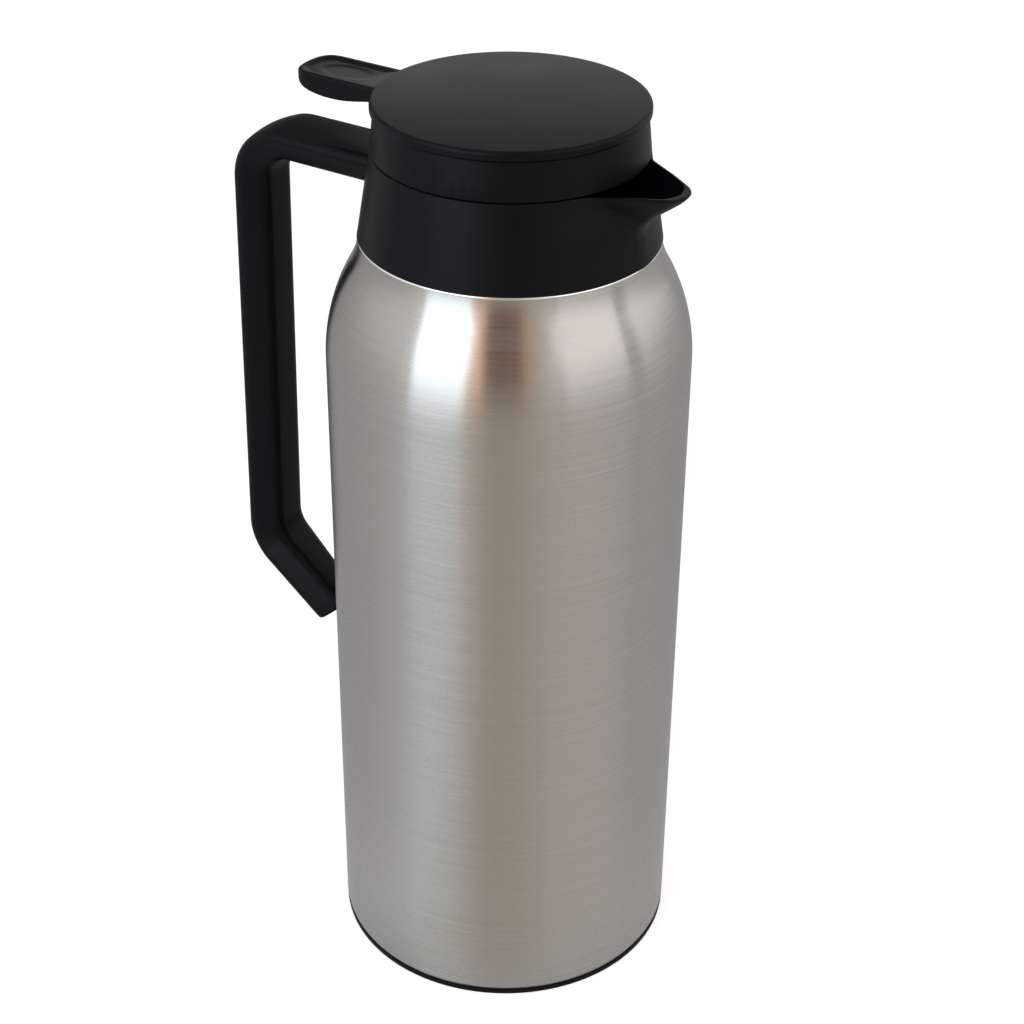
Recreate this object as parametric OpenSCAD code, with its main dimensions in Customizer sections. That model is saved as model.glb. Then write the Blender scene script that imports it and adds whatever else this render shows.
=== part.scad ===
// Thermal carafe with a flip lid: a double walled steel flask, a black collar with
// a spout, a screwed stopper with a lift valve, and a lid with a thumb lever.
// The axis of the flask is Z, the table is z = 0, and the spout points to +X.

/* [Steel flask] */
// Outer radius of the straight wall
body_r = 58; // [52:0.5:66]
// Thickness of both steel walls
steel_t = 0.8; // [0.6:0.1:1.2]
// Height of the steel bottom edge above the table
body_z0 = 2; // [1.6:0.1:4]
// Height where the straight wall turns into the shoulder
shoulder_z = 221.6; // [190:0.2:240]
// Radius of the rounded shoulder
shoulder_r = 62; // [58:0.5:70]
// Angle that the shoulder turns through
shoulder_turn = 29.4; // [26:0.2:32]
// Radius of the flare between shoulder and collar
flare_r = 26.5; // [22:0.5:32]
// Slope of the flare where it meets the collar
flare_end = 5; // [2:0.5:8]
// Gap between the walls in the neck
neck_gap = 1.9; // [1.4:0.1:2.6]
// Height of the neck above the collar seat
neck_h = 9.8; // [8.5:0.1:11]
// Gap between the two walls of the flask
vacuum_gap = 3.7; // [2.5:0.1:5]
// Bore radius of the inner flask's neck
mouth_r = 34.5; // [31:0.5:37]

/* [Base] */
// Distance of the base ring's edge inside the straight wall
ring_inset = 0.1; // [0:0.1:1]
// Height of the steel bottom plate above the table
plate_z = 5; // [4.9:0.1:8]
// Width of the base ring's underside
ring_w = 7.9; // [5:0.1:12]
// Thickness of the ledge that clips into the shell
ring_ledge_h = 2.6; // [1.5:0.1:2.8]

/* [Collar and spout] */
// Height of the collar
collar_h = 27; // [26:0.2:32]
// Overhang of the collar's lower edge over its seat
collar_over = 0.2; // [0.1:0.1:1]
// Wall of the collar at its upper edge
collar_wall = 3.5; // [3.1:0.1:4.6]
// Distance of the collar's bore outside the neck
bore_step = 1; // [0.8:0.1:1.6]
// Reach of the spout tip beyond the collar
spout_len = 18.7; // [14:0.1:26]
// Radius of the spout tip seen from above
spout_tip_r = 8; // [6:0.5:9]
// Half angle of the spout's root
spout_half = 27.9; // [24:0.1:30]
// Height that the keel of the spout drops to
spout_drop = 16; // [12:0.2:17]
// Wall of the spout
spout_wall = 1.8; // [1.4:0.1:2.2]
// Depth of the spout's rim below the collar's rim
spout_sink = 0.6; // [0.2:0.1:1]
// Height of the spout's lip at its tip
tip_h = 2.6; // [1.6:0.2:3.4]

/* [Handle] */
// Reach of the handle beyond the straight wall, at the top corner
handle_reach = 42.3; // [38:0.1:52]
// Depth of the arm's top face under the collar's top
arm_drop = 9.4; // [8.5:0.1:11]
// Outward lean of the grip in degrees
grip_lean = 1.15; // [0:0.05:3]
// Height of the lower outer corner above the table
bend_z = 120.7; // [110:0.1:140]
// Slope of the leg below the horizontal
leg_angle = 41.9; // [38:0.1:46]
// Height of the foot's outer tip
foot_z = 95; // [88:0.2:98]
// Slope of the foot's cut end
foot_cut = 40; // [30:1:48]
// Radius of the boss that meets the shell
foot_boss_r = 6.4; // [5.5:0.1:8]
// Width of the leg at the foot, as a share of the grip's
foot_narrow = 0.78; // [0.7:0.02:1]
// Width of the outer face
grip_w = 26.8; // [20:0.2:30]
// Width of the inner face
grip_w_in = 13; // [10:0.5:18]
// Thickness of the handle
grip_t = 11.2; // [8:0.1:13]
// Thickness of the leg at the foot
foot_t = 11; // [9:0.1:14]
// Radius of the upper corner
corner_r = 19.5; // [15:0.5:24]
// Radius of the lower bend
bend_r = 20; // [15:0.5:26]

/* [Stopper] */
// Height of the ring that stands on the collar
ring_h = 11.9; // [11.4:0.1:13]
// Taper of the ring from its lower to its upper edge
ring_taper = 1.2; // [0.5:0.1:1.5]
// Wall of the ring
ring_wall = 2.4; // [2:0.1:2.6]
// Thickness of the deck inside the ring
deck_t = 2.5; // [2:0.1:3]
// Gap between the plug and the flask's mouth
plug_gap = 0.9; // [0.7:0.1:1.5]
// Depth of the plug under the deck
plug_h = 32; // [31:0.5:36]
// Wall of the plug
plug_wall = 2; // [1.6:0.1:2.4]
// Lead of the three start thread
lead = 32; // [30:1:36]
// Width of the valve seat
seat_w = 5; // [4:0.1:7]

/* [Valve] */
// Radius of the valve stem
stem_r = 4; // [3.5:0.1:4.5]
// Gap between the valve plate and the plug's wall
valve_gap = 4.6; // [4:0.1:6]
// Thickness of the valve gasket
gasket_t = 2; // [1.5:0.1:2.5]
// Wire radius of the valve spring
wire_r = 0.6; // [0.5:0.05:0.7]
// Turns of the valve spring
spring_turns = 6; // [5:1:7]

/* [Lid] */
// Overhang of the lid disc over the ring
lid_over = 1; // [0.5:0.1:1.5]
// Thickness of the lid disc
lid_t = 3.1; // [2.8:0.1:3.6]
// Distance of the hinge inside the ring's upper edge
hinge_inset = 4.3; // [4.1:0.1:4.8]
// Radius of the hinge pin
pin_r = 1.5; // [1.2:0.1:1.6]
// Angle that the lid opens to
open_angle = 22; // [15:1:22]
// Reach of the thumb lever beyond the hinge
lever_len = 39.2; // [32:0.2:44]
// Width of the thumb lever
lever_w = 18.4; // [16:0.2:19]
// Depth of the thumb recess
recess_d = 1.2; // [0.6:0.1:1.6]

/* [Hidden] */
$fn = 96;

// Clearances: a small cut overlap, a running fit, a fixed fit and a rest gap
eps = 0.02;
run = 0.06;
fix = 0.02;
rest = 0.3;

// Points of an arc with centre [x, y], from angle a to angle b
function arc(x, y, r, a, b, n = 10) =
    [for (i = [0:n]) [x + r * cos(a + (b - a) * i / n), y + r * sin(a + (b - a) * i / n)]];
function backwards(p) = [for (i = [len(p) - 1:-1:0]) p[i]];
function unit(v) = v / norm(v);

// A rounded corner at q between p and s, as n + 1 points of an arc of radius r
function corner(p, q, s, r, n = 6) =
    let (u = unit(p - q), v = unit(s - q), half = acos(u * v) / 2, turn = 180 - 2 * half,
         c = q + unit(u + v) * r / sin(half), a = q + u * r / tan(half) - c,
         b = q + v * r / tan(half) - c)
    [for (i = [0:n]) c + (sin(turn * (1 - i / n)) * a + sin(turn * i / n) * b) / sin(turn)];

// Radii that follow from the mouth of the flask, from the neck to the lid
neck_r = mouth_r + 2 * steel_t + neck_gap;
collar_bore = neck_r + bore_step;
collar_r1 = collar_bore + collar_wall;
spout_reach = collar_r1 + spout_len;
ring_r1 = collar_r1 - ring_taper;
lid_r = ring_r1 + lid_over;
hinge_x = ring_r1 - hinge_inset;
lever_x = hinge_x + lever_len;
plug_r = mouth_r - plug_gap;
valve_r = plug_r - plug_wall - valve_gap;
seat_r = valve_r - seat_w;

// Radii that follow from the straight wall
base_r = body_r - ring_inset;
pad_r = base_r - ring_w;
handle_x = body_r + handle_reach;

// Heights of the flask, from the shoulder up
flare_cx = body_r - shoulder_r + (shoulder_r + flare_r) * cos(shoulder_turn);
flare_cz = shoulder_z + (shoulder_r + flare_r) * sin(shoulder_turn);
seat_z = flare_cz - flare_r * sin(flare_end);
collar_r0 = flare_cx - flare_r * cos(flare_end) + collar_over;
lip_z = seat_z + neck_h;
foot_round = 1.5;
lip_t = 0.8;

// The shell's outer line, set inwards by d
function shell_line(d) = concat(
    [[body_r - foot_round / 2 - d, body_z0]],
    [[body_r - d, body_z0 + foot_round]],
    arc(body_r - shoulder_r, shoulder_z, shoulder_r - d, 0, shoulder_turn),
    arc(flare_cx, flare_cz, flare_r + d, 180 + shoulder_turn, 180 + flare_end, 6),
    [[flare_cx - (flare_r + d) * cos(flare_end), seat_z - d]],
    [[neck_r - d, seat_z - d]],
    [[neck_r - d, lip_z]]);

// The inner flask's outer line, set inwards by d
inner_r = body_r - steel_t - vacuum_gap;
inner_z0 = plate_z + steel_t + vacuum_gap;
inner_round = 10;
inner_neck_z = seat_z - 6;
function flask_line(d) = concat(
    [[0, inner_z0 + d]],
    arc(inner_r - inner_round, inner_z0 + inner_round, inner_round - d, 270, 360, 6),
    arc(body_r - shoulder_r, shoulder_z, shoulder_r - steel_t - vacuum_gap - d, 0, shoulder_turn, 8),
    [[mouth_r + steel_t - d, inner_neck_z]],
    [[mouth_r + steel_t - d, lip_z]]);

module outer_shell() {
    color([0.68, 0.67, 0.65])
    rotate_extrude()
    polygon(concat(shell_line(0), backwards(shell_line(steel_t))));
}

// The inner flask is closed below and turned out over the neck of the shell
module inner_flask() {
    color([0.72, 0.71, 0.69])
    rotate_extrude()
    union() {
        polygon(concat(flask_line(0), backwards(flask_line(steel_t))));
        translate([mouth_r, lip_z])
            square([neck_r - mouth_r, lip_t]);
    }
}

// The steel bottom is pressed into the shell and welded round its edge
plate_r = body_r - steel_t;
module base_plate() {
    color([0.6, 0.6, 0.59])
    rotate_extrude()
    polygon([[port_r, plate_z], [plate_r, plate_z], [plate_r, plate_z + steel_t],
        [port_r, plate_z + steel_t]]);
}

// The port in the bottom plate through which the air was drawn out
port_r = 1.2;
cap_r = 4;
cap_t = 1.2;
module vacuum_seal() {
    color([0.45, 0.45, 0.45]) {
        translate([0, 0, plate_z - cap_t])
            cylinder(r = cap_r, h = cap_t);
        translate([0, 0, plate_z])
            cylinder(r = port_r, h = steel_t / 2);
    }
}

// A getter capsule welded to the bottom plate keeps the vacuum
getter_x = 24;
getter_r = 6;
getter_h = 2.4;
module getter_capsule() {
    color([0.5, 0.5, 0.5])
    translate([getter_x, 0, plate_z + steel_t])
        cylinder(r = getter_r, h = getter_h);
}

ring_round = 0.5;
ring_ledge_r = pad_r - 4;
module base_ring() {
    color([0.07, 0.07, 0.08])
    rotate_extrude()
    polygon([[pad_r, 0], [base_r - ring_round, 0], [base_r, ring_round],
        [base_r, body_z0], [plate_r - foot_round / 2 - eps, body_z0],
        [plate_r - foot_round / 2 - eps, body_z0 + ring_ledge_h],
        [ring_ledge_r, body_z0 + ring_ledge_h], [ring_ledge_r, body_z0], [pad_r, body_z0]]);
}

module base_pad() {
    color([0.12, 0.12, 0.12])
    cylinder(r = pad_r, h = body_z0);
}

// The collar stands on the flat seat of the shell and clamps the neck gasket
collar_z1 = seat_z + collar_h;
gasket_r0 = mouth_r + 1.1;
neck_gasket_t = 1;
ledge_z = lip_z + lip_t + neck_gasket_t;
ledge_t = 2;
core_z = 9;
core_wall = 2.2;
core_draft = (collar_r0 - collar_r1) * core_z / collar_h;
module neck_gasket() {
    color([0.75, 0.75, 0.72])
    translate([0, 0, lip_z + lip_t])
    difference() {
        cylinder(r = neck_r, h = neck_gasket_t);
        translate([0, 0, -eps])
            cylinder(r = gasket_r0, h = neck_gasket_t + 2 * eps);
    }
}

// The spout is the hull of its rim, its tip and the low end of its keel, set in by d
root_r = collar_r1 - 0.6;
keel_x = collar_r1 - 1;
tip_taper = 1.6;
spout_z1 = collar_z1 - spout_sink;
module spout_body(d) {
    open_top = d > 0 ? 3 : 0;
    hull() {
        for (side = [-1, 1])
            translate([root_r * cos(spout_half) - d, side * (root_r * sin(spout_half) - d * 1.2),
                spout_z1 - 1])
                cylinder(r = 0.6, h = 1 + open_top, $fn = 16);
        translate([spout_reach - spout_tip_r, 0, spout_z1 - tip_h + d])
            cylinder(r1 = spout_tip_r - tip_taper - d, r2 = spout_tip_r - d, h = tip_h - d + open_top,
                $fn = 48);
        translate([keel_x - d * 3, 0, collar_z1 - spout_drop + 2 + d])
            sphere(r = 2, $fn = 24);
    }
}

// Three helical ribs inside the bore, under which the stopper's lugs run
rib_h = 2.4;
rib_depth = 2.4;
rib_span = 44;
rib_start = 38;
lug_h = 2.6;
lug_span = 24;
lug_a0 = 60 - lug_span / 2;
lug_z = ledge_z + ledge_t + 0.9;

// A helical block between radii r0 and r1, from angle a over the given span
module helix_block(r0, r1, a, span, z, h, n = 8) {
    pts = [for (i = [0:n]) let (t = a + span * i / n, dz = z + lead * (t - a) / 360)
        for (c = [[r0, 0], [r1, 0], [r1, h], [r0, h]])
            [c[0] * cos(t), c[0] * sin(t), dz + c[1]]];
    sides = [for (i = [0:n - 1]) for (k = [0:3]) let (m = (k + 1) % 4)
        for (f = [[4 * i + k, 4 * i + m, 4 * i + 4 + m], [4 * i + k, 4 * i + 4 + m, 4 * i + 4 + k]])
            f];
    polyhedron(concat(pts), concat([[0, 3, 2], [0, 2, 1]], sides,
        [[4 * n, 4 * n + 1, 4 * n + 2], [4 * n, 4 * n + 2, 4 * n + 3]]), convexity = 4);
}

module collar() {
    color([0.06, 0.065, 0.075])
    difference() {
        union() {
            rotate_extrude()
            polygon([[neck_r + fix, seat_z], [collar_r0, seat_z], [collar_r1, collar_z1],
                [collar_bore, collar_z1], [collar_bore, ledge_z + ledge_t],
                [gasket_r0, ledge_z + ledge_t], [gasket_r0, ledge_z], [neck_r + fix, ledge_z]]);
            difference() {
                spout_body(0);
                translate([0, 0, seat_z])
                    cylinder(r = collar_bore + 1, h = collar_h + 5);
            }
            for (a = [0:120:240])
                helix_block(collar_bore - rib_depth, collar_bore + 1, a + rib_start, rib_span,
                    lug_z + lug_h + rest + lead * (rib_start - lug_a0) / 360, rib_h);
        }
        // The moulding core under the collar, closed off by the steel
        translate([0, 0, seat_z - eps])
        difference() {
            cylinder(r1 = collar_r0 - core_wall, r2 = collar_r0 - core_wall - core_draft, h = core_z);
            translate([0, 0, -eps])
                cylinder(r = neck_r + core_wall, h = core_z + 2 * eps);
        }
        spout_body(spout_wall);
        // Seats of the two screws that hold the arm
        for (side = [-1, 1])
            translate([0, side * arm_screw_y, arm_screw_z]) {
                rod_x(-collar_bore + 2, arm_screw_x - collar_bore + 2, arm_head_r + run);
                rod_x(-collar_bore + 2, 12, arm_screw_r + run);
            }
    }
}

// Lines of the handle in the XZ plane, outer side
arm_z1 = collar_z1 - arm_drop;
arm_root = 9;
top_corner = [-handle_x, arm_z1];
low_corner = [-handle_x - (arm_z1 - bend_z) * tan(grip_lean), bend_z];
leg_len = (bend_z - foot_z) / sin(leg_angle) + 14;
tip_x = low_corner[0] + (bend_z - foot_z) / tan(leg_angle);
leg_end = low_corner + leg_len * [cos(leg_angle), -sin(leg_angle)];
arm_end = [arm_root - collar_bore, arm_z1];
corner_n = 10;
handle_path = concat([arm_end], corner(arm_end, top_corner, low_corner, corner_r, corner_n),
    corner(top_corner, low_corner, leg_end, bend_r, corner_n), [leg_end]);
path_n = len(handle_path);
function path_thick(i) = i < path_n - 1 ? 1 : foot_t / grip_t;
function path_wide(i) = i < path_n - 1 ? 1 : foot_narrow;
function path_dir(i) = unit(handle_path[min(i + 1, path_n - 1)] - handle_path[max(i - 1, 0)]);

// Rounded trapezoid of the grip, as [across, inwards]
edge_r = 2;
edge_r_in = 2.4;
crown = 0.8;
half_out = grip_w / 2;
half_in = grip_w_in / 2;
grip_corners = [[half_out, 0], [half_in, grip_t], [-half_in, grip_t], [-half_out, 0]];
grip_round = [for (i = [0:3]) each corner(grip_corners[(i + 3) % 4], grip_corners[i],
    grip_corners[(i + 1) % 4], (i == 0 || i == 3) ? edge_r : edge_r_in, 4)];
// The outer face is crowned a little between its rounded edges
grip_section = concat(grip_round,
    [for (c = [-0.5, 0, 0.5]) [c * half_out, -crown * (1 - c * c)]]);
sec_n = len(grip_section);

module grip_bar() {
    pts = [for (i = [0:path_n - 1]) let (t = path_dir(i), q = handle_path[i], k = path_thick(i), w = path_wide(i))
        for (s = grip_section)
            [q[0] - t[1] * s[1] * k, s[0] * w, q[1] + t[0] * s[1] * k]];
    sides = [for (i = [0:path_n - 2]) for (k = [0:sec_n - 1])
        let (m = (k + 1) % sec_n, a = i * sec_n, b = a + sec_n)
        for (f = [[a + k, b + k, b + m], [a + k, b + m, a + m]]) f];
    last = (path_n - 1) * sec_n;
    polyhedron(pts, concat([[for (k = [0:sec_n - 1]) k]], sides,
        [[for (k = [sec_n - 1:-1:0]) last + k]]), convexity = 6);
}

// Screws and the bracket that hold the handle
screw_r = 2;
head_r = 3.5;
head_h = 2.2;
bracket_t = 1.5;
bracket_w = 7.6;
lower_z = foot_z + foot_boss_r + 1.2;
bracket_h = 8.4;
head_seat_in = 1.8;
bracket_z0 = lower_z - bracket_h / 2;
boss_r = 3.2;
boss_h = 3;
lower_x = -tip_x - head_seat_in;
boss_reach = lower_x - 3;
cut_end_x = boss_reach - 4;
arm_screw_r = 1.5;
arm_head_r = 2.6;
arm_head_h = 1.8;
arm_screw_z = ledge_z + ledge_t + 1.2;
arm_screw_x = collar_bore + arm_head_h + rest;
arm_screw_len = 14;
arm_screw_y = 6;

// A cylinder along -X whose right end is at x0
module rod_x(x0, h, r) {
    translate([x0, 0, 0])
    rotate([0, -90, 0])
        cylinder(r = r, h = h);
}

// The space below the slanted end of the foot
module below_foot() {
    translate([tip_x, 0, foot_z])
    rotate([0, -foot_cut, 0])
    translate([-grip_t, -grip_w, -leg_len])
        cube([2 * leg_len, grip_w * 2, leg_len]);
}

module handle() {
    color([0.06, 0.065, 0.075])
    difference() {
        union() {
            difference() {
                union() {
                    grip_bar();
                    translate([0, 0, lower_z])
                        rod_x(-cut_end_x, boss_reach - cut_end_x, foot_boss_r);
                }
                below_foot();
            }
            // The boss carries on to the shell behind the cut
            translate([0, 0, lower_z])
                rod_x(-body_r + 4, cut_end_x - body_r + 4, foot_boss_r);
        }
        translate([0, 0, seat_z])
            cylinder(r1 = collar_r0, r2 = collar_r1, h = collar_h);
        translate([0, 0, body_z0])
            cylinder(r = body_r, h = shoulder_z - body_z0);
        // Pocket for the bracket and the way of the lower screw
        translate([-body_r - bracket_t - run, -bracket_w / 2 - run, bracket_z0 - run])
            cube([bracket_t + 4, bracket_w + 2 * run, bracket_h + 2 * run]);
        translate([0, 0, lower_z]) {
            rod_x(-body_r, bracket_t + boss_h + run, boss_r + run);
            rod_x(-body_r, lower_x - body_r + eps, screw_r + run);
            rod_x(-lower_x, leg_len, head_r + rest);
        }
        for (side = [-1, 1])
            translate([0, side * arm_screw_y, arm_screw_z])
                rod_x(-collar_bore, arm_screw_x + arm_screw_len - collar_bore + 1, arm_screw_r + fix);
    }
}

// A steel plate welded to the shell, with a threaded boss
module handle_bracket() {
    color([0.62, 0.62, 0.6])
    difference() {
        union() {
            translate([-body_r - bracket_t, -bracket_w / 2, bracket_z0])
                cube([bracket_t + 3, bracket_w, bracket_h]);
            translate([0, 0, lower_z])
                rod_x(-body_r, bracket_t + boss_h, boss_r);
        }
        translate([0, 0, body_z0])
            cylinder(r = body_r, h = shoulder_z - body_z0);
        translate([0, 0, lower_z])
            rod_x(-body_r + 3, bracket_t + boss_h + 6, screw_r + fix);
    }
}

// A pan head screw along -X, head outwards when out is 1
module screw_x(x0, len, r, hr, hh, out) {
    rod_x(x0, len, r);
    rod_x(out ? x0 - len : x0 + hh, hh, hr);
}

module handle_screw_lower() {
    color([0.55, 0.55, 0.55])
    translate([0, 0, lower_z])
        screw_x(-body_r - 0.6, lower_x - body_r - 0.6, screw_r, head_r, head_h, true);
}

module handle_screws_upper() {
    color([0.55, 0.55, 0.55])
    for (side = [-1, 1])
        translate([0, side * arm_screw_y, arm_screw_z])
            screw_x(-arm_screw_x, arm_screw_len, arm_screw_r, arm_head_r, arm_head_h, false);
}

// The stopper stands on the collar's rim with the rest gap
ring_z0 = collar_z1 + rest;
ring_z1 = ring_z0 + ring_h;
deck_z1 = ring_z0 + deck_t;
plug_z0 = ring_z0 - plug_h;
window_z0 = lug_z + 1;
window_h = ring_z0 - window_z0 - 1.6;
window_half = 46;
groove_z = lip_z - 9;
groove_h = 4;
groove_d = 1;
boss_guide_r = stem_r + 2.2;
hinge_z = ring_z1 - 3.4;
knuckle_r = 3;
knuckle_w = lever_w;
ear_gap = 0.6;
ear_t = 3.8;
lid_gap = 0.4;
lid_z0 = ring_z1 + lid_gap;
lid_z1 = lid_z0 + lid_t;
notch_z = deck_z1 + 1.3;
notch_in = 4;

// Heights of the valve
valve_seat_z = plug_z0 + 1.4;
gasket_z0 = valve_seat_z + rest;
plate_v_z0 = gasket_z0 + gasket_t;
plate_v_t = 2.5;
plate_v_z1 = plate_v_z0 + plate_v_t;
valve_travel = hinge_x * tan(open_angle);
guide_z0 = plate_v_z1 + valve_travel + 1.2;

// A cylinder along Y, centred
module rod_y(x, z, r, w) {
    translate([x, 0, z])
    rotate([90, 0, 0])
        cylinder(r = r, h = w, center = true);
}

module stopper_body() {
    color([0.06, 0.065, 0.075])
    difference() {
        union() {
            rotate_extrude()
            polygon([[0, ring_z0], [plug_r - plug_wall, ring_z0], [plug_r - plug_wall, plug_z0],
                [plug_r, plug_z0], [plug_r, groove_z], [plug_r - groove_d, groove_z],
                [plug_r - groove_d, groove_z + groove_h], [plug_r, groove_z + groove_h],
                [plug_r, ring_z0], [collar_r1 - 0.3, ring_z0], [collar_r1, ring_z0 + 0.3],
                [ring_r1, ring_z1], [ring_r1 - ring_wall, ring_z1], [ring_r1 - ring_wall, deck_z1],
                [0, deck_z1]]);
            translate([0, 0, guide_z0])
                cylinder(r = boss_guide_r, h = deck_z1 - guide_z0);
            // Ears that hold the hinge pin
            for (side = [-1, 1])
                translate([0, side * (knuckle_w / 2 + ear_gap + ear_t / 2), 0]) {
                    rod_y(-hinge_x, hinge_z, knuckle_r, ear_t);
                    translate([-hinge_x - knuckle_r, -ear_t / 2, deck_z1 - eps])
                        cube([2 * knuckle_r, ear_t, hinge_z - deck_z1 + eps]);
                }
            // Lugs of the screw thread, on the pillars between the windows
            for (a = [0:120:240])
                helix_block(plug_r - 1, collar_bore - 0.4, a + lug_a0, lug_span, lug_z, lug_h);
        }
        // Windows through which the drink leaves
        for (a = [0:120:240])
            rotate([0, 0, a - window_half])
            rotate_extrude(angle = 2 * window_half)
            translate([plug_r - plug_wall - 1, window_z0])
                square([plug_wall + 2, window_h]);
        translate([0, 0, guide_z0 - 1])
            cylinder(r = stem_r + run, h = deck_z1 - guide_z0 + 2);
        rod_y(-hinge_x, hinge_z, pin_r + fix, 60);
        // Notch for the lever, and the slope that the lid's rear edge tips onto
        translate([-lever_x, -knuckle_w / 2 - ear_gap, notch_z])
            cube([lever_x - hinge_x + notch_in, knuckle_w + 2 * ear_gap, ring_h]);
        translate([-hinge_x, 0, hinge_z])
        rotate([0, -open_angle, 0])
        translate([-collar_r1, -collar_r1, lid_z0 - hinge_z - lid_gap - 0.1])
            cube([collar_r1, 2 * collar_r1, collar_r1]);
    }
}

// The lower half of the plug carries the valve seat
seat_t = 3.6;
spigot_h = 4;
seat_lip = 2.5;
module stopper_base() {
    color([0.09, 0.09, 0.1])
    rotate_extrude()
    polygon([[seat_r, plug_z0 - seat_t], [plug_r - 1, plug_z0 - seat_t], [plug_r, plug_z0 - seat_t + 1],
        [plug_r, plug_z0], [plug_r - plug_wall - fix, plug_z0],
        [plug_r - plug_wall - fix, plug_z0 + spigot_h],
        [plug_r - 2 * plug_wall, plug_z0 + spigot_h], [plug_r - 2 * plug_wall, plug_z0],
        [seat_r + seat_lip + 1, plug_z0], [seat_r + seat_lip, valve_seat_z], [seat_r + 0.6, valve_seat_z],
        [seat_r, valve_seat_z - 0.6]]);
}

// Ring seal in the groove of the plug
module stopper_gasket() {
    color([0.75, 0.75, 0.72])
    rotate_extrude()
    polygon([[plug_r - groove_d + fix, groove_z + fix], [plug_r, groove_z + fix],
        [mouth_r - run, groove_z + 1], [mouth_r - run, groove_z + 1.6], [plug_r + 0.2, groove_z + 2],
        [mouth_r - run, groove_z + 2.4], [mouth_r - run, groove_z + 3],
        [plug_r, groove_z + groove_h - fix], [plug_r - groove_d + fix, groove_z + groove_h - fix]]);
}

// Stem with a spool for the gasket below and a cross head above
spool_r = seat_r - 4;
spool_neck_r = seat_r - 7;
spool_t = 1.4;
cross_r = 1.6;
cross_w = 15;
stem_z1 = hinge_z + cross_r / 2;
module valve_stem() {
    color([0.8, 0.8, 0.78]) {
        rotate_extrude()
        polygon([[0, gasket_z0 - spool_t], [spool_r - 1, gasket_z0 - spool_t],
            [spool_r, gasket_z0 - fix], [spool_neck_r, gasket_z0 - fix],
            [spool_neck_r, plate_v_z0 + fix], [valve_r, plate_v_z0 + fix], [valve_r, plate_v_z1 - 1],
            [valve_r - 2, plate_v_z1], [stem_r, plate_v_z1], [stem_r, stem_z1], [0, stem_z1]]);
        rod_y(0, hinge_z, cross_r, cross_w);
    }
}

module valve_gasket() {
    color([0.75, 0.3, 0.2])
    rotate_extrude()
    polygon([[spool_neck_r + fix, gasket_z0], [valve_r - 1, gasket_z0], [valve_r - 0.6, gasket_z0 + 0.6],
        [valve_r - 0.6, plate_v_z0], [spool_neck_r + fix, plate_v_z0]]);
}

// The coil spring round the guide pushes the valve down and brings the lid back
coil_r = boss_guide_r + 0.8 + wire_r;
coil_z0 = plate_v_z1 + wire_r + 0.05;
coil_z1 = ring_z0 - wire_r - 0.05;
coil_rings = 8;
coil_sides = 6;
coil_pitch = (coil_z1 - coil_z0) / spring_turns;
echo(least_gap_in_the_spring = coil_pitch - 2 * wire_r);
module valve_spring() {
    n = spring_turns * coil_rings;
    pts = [for (i = [0:n]) let (t = 360 * i / coil_rings, z = coil_z0 + (coil_z1 - coil_z0) * i / n)
        for (k = [0:coil_sides - 1]) let (a = 360 * k / coil_sides, r = coil_r + wire_r * cos(a))
            [r * cos(t), r * sin(t), z + wire_r * sin(a)]];
    sides = [for (i = [0:n - 1]) for (k = [0:coil_sides - 1])
        let (m = (k + 1) % coil_sides, a = i * coil_sides, b = a + coil_sides)
        for (f = [[a + k, a + m, b + m], [a + k, b + m, b + k]]) f];
    color([0.6, 0.6, 0.6])
    polyhedron(pts, concat([[for (k = [coil_sides - 1:-1:0]) k]], sides,
        [[for (k = [0:coil_sides - 1]) n * coil_sides + k]]), convexity = 10);
}

module hinge_pin() {
    color([0.6, 0.6, 0.6])
        rod_y(-hinge_x, hinge_z, pin_r, knuckle_w + 2 * ear_gap + 2 * ear_t);
}

// The lid disc, with the lever and the hinge knuckle in one moulding
lid_edge = 1.1;
lever_z1 = lid_z0 + 0.1;
lever_low_x = lever_x - 15.2;
lever_low_z = lever_z1 - 7;
lever_sag_r = 42;
lever_tip_r = 7;
recess_r = 45;
recess_x = lever_x - 16.2;
cover_t = 2.5;
cover_r = ring_r1 - ring_wall - 2.3;
cover_x = hinge_x - 6.5;
cover_screw_ring = cover_r - 9;
cover_screws = [for (a = [30, -30, 141, -141]) cover_screw_ring * [cos(a), sin(a)]];
cover_screw_r = 1.1;
lever_side = concat([[-hinge_x + 1, lever_z1], [-lever_x, lever_z1]],
    [for (x = [-lever_x:3:-lever_low_x + 17])
        [x, lever_low_z + lever_sag_r - sqrt(pow(lever_sag_r, 2) - pow(x + lever_low_x, 2))]],
    [[-hinge_x + 1, lever_z1 - 4.8]]);
lever_root = [-hinge_x + 1, lever_w / 2];
lever_tip = [-lever_x, lever_w / 2];
lever_plan_half = concat([lever_root], corner(lever_root, lever_tip, [-lever_x, 0], lever_tip_r));
lever_plan = concat(lever_plan_half, [for (q = backwards(lever_plan_half)) [q[0], -q[1]]]);

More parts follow.
